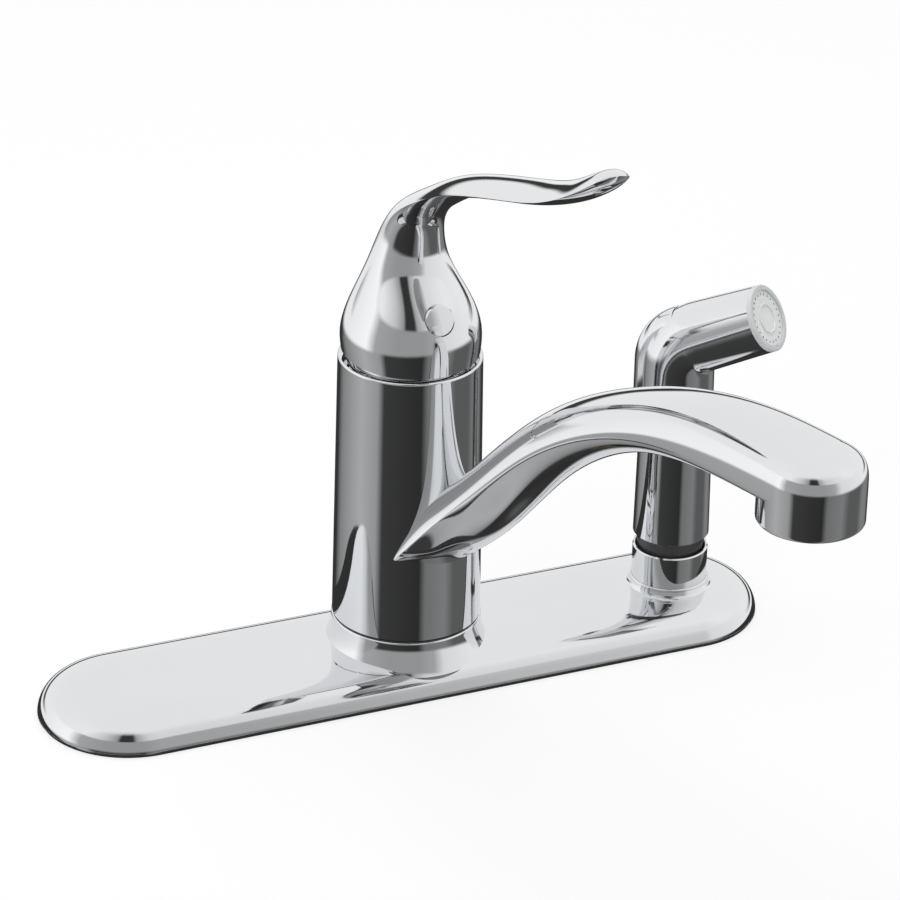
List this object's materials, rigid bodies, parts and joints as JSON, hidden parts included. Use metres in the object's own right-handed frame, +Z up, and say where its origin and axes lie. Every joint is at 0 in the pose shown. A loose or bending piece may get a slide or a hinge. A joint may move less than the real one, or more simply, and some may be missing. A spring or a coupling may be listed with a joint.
{
  "type": "side spray kitchen faucet",
  "caption": "Single-lever kitchen faucet on a long oval deck plate, with an arched swinging spout and a separate pull-up side spray.",
  "frame": {"origin": "on the deck surface under the gasket, on the axis of the valve body", "axes": "+X along the deck plate towards the side spray, -Y towards the user at the sink, +Z up"},
  "size_m": [0.266, 0.2293, 0.2889],
  "materials": {
    "plate_chrome": "polished chrome plate on zinc",
    "spout_chrome": "polished chrome plate on brass",
    "handle_chrome": "polished chrome plate on zinc",
    "button_chrome": "polished chrome plate",
    "holder_chrome": "polished chrome plate on brass",
    "aerator_chrome": "polished chrome plate on brass",
    "bonnet_chrome": "chrome plate on brass",
    "spray_chrome": "chrome plate on plastic",
    "brass": "as machined",
    "steel": "plain",
    "black_rubber": "matt",
    "black_plastic": "satin",
    "backing_plastic": "satin",
    "grey_plastic": "satin",
    "white_plastic": "satin",
    "white_ceramic": "lapped",
    "face_white": "satin",
    "face_grey": "gloss"
  },
  "bodies": {
    "mounting": {"escutcheon": "plate_chrome", "backing_plate": "backing_plastic", "deck_gasket": "black_rubber", "valve_body": "brass", "spout_seals": "black_rubber", "lower_glide_ring": "black_plastic", "bonnet_nut": "bonnet_chrome", "cartridge_base": "grey_plastic", "cartridge_seals": "black_rubber", "cartridge_housing": "grey_plastic", "fixed_disc": "white_ceramic", "diverter_spring": "steel", "spray_holder": "holder_chrome", "holder_bushing": "black_plastic"},
    "spout_arm": {"spout": "spout_chrome", "aerator_housing": "aerator_chrome", "aerator_screen": "steel", "aerator_insert": "white_plastic", "aerator_washer": "black_rubber"},
    "turret": {"lever_turret": "white_plastic", "stem_pin": "steel"},
    "lever": {"lever_stem": "steel", "handle": "handle_chrome", "handle_set_screw": "steel", "plug_button": "button_chrome"},
    "slider": {"moving_disc": "white_ceramic", "disc_carrier": "white_plastic"},
    "diverter": {"diverter_piston": "white_plastic"},
    "shank_fixing": {"shank_rubber_washer": "black_rubber", "shank_steel_washer": "steel", "shank_nut": "brass"},
    "holder_fixing": {"holder_washer": "steel", "holder_nut": "brass"},
    "hose_end": {"hose_coupling": "black_plastic", "coupling_clip": "steel"},
    "handset": {"spray_shell": "spray_chrome", "spray_core": "white_plastic", "spray_face": "face_white", "face_ring": "face_grey", "trigger_pin": "steel", "valve_spring": "steel"},
    "trigger": {"spray_trigger": "spray_chrome"},
    "valve": {"spray_valve": "brass"}
  },
  "joints": [
    {"name": "spout_swing", "type": "hinge", "parent": "mounting", "child": "spout_arm", "pos_m": [0, 0, 0], "axis": [0, 0, 1], "range_deg": [-77, 29]},
    {"name": "handle_turn", "type": "hinge", "parent": "mounting", "child": "turret", "pos_m": [0, 0, 0], "axis": [0, 0, 1], "range_deg": [-55, 45]},
    {"name": "handle_lift", "type": "hinge", "parent": "turret", "child": "lever", "pos_m": [-0.00078, 0.00897, 0.124], "axis": [-0.9962, -0.0872, 0], "range_deg": [0, 13.5]},
    {"name": "disc_slide", "type": "slide", "parent": "turret", "child": "slider", "axis": [0.0872, -0.9962, 0], "range_m": [0, 0.0062]},
    {"name": "diverter_slide", "type": "slide", "parent": "mounting", "child": "diverter", "axis": [0, 0, -1], "range_m": [0, 0.003], "stiffness_N_per_m": 150, "springref_m": -0.003, "deforming": ["diverter_spring"]},
    {"name": "shank_nut_travel", "type": "slide", "parent": "mounting", "child": "shank_fixing", "axis": [0, 0, 1], "range_m": [-0.0204, 0]},
    {"name": "holder_nut_travel", "type": "slide", "parent": "mounting", "child": "holder_fixing", "axis": [0, 0, 1], "range_m": [-0.0204, 0]},
    {"name": "spray_lift", "type": "slide", "parent": "mounting", "child": "hose_end", "axis": [0, 0, 1], "range_m": [0, 0.1]},
    {"name": "spray_swivel", "type": "hinge", "parent": "hose_end", "child": "handset", "pos_m": [0.1016, 0, 0.035], "axis": [0, 0, 1], "continuous": true},
    {"name": "trigger_press", "type": "hinge", "parent": "handset", "child": "trigger", "pos_m": [0.09984, 0.00209, 0.11086], "axis": [-0.766, -0.6428, 0], "range_deg": [0, 3.1], "stiffness_Nm_per_rad": 1.5, "springref_deg": -2.86},
    {"name": "valve_slide", "type": "slide", "parent": "handset", "child": "valve", "axis": [0.6428, -0.766, 0], "range_m": [0, 0.0016]}
  ],
  "couplings": [
    {"joint": "disc_slide", "follows": "handle_lift", "m_per_rad": 0.02585},
    {"joint": "valve_slide", "follows": "trigger_press", "m_per_rad": 0.02686}
  ]
}
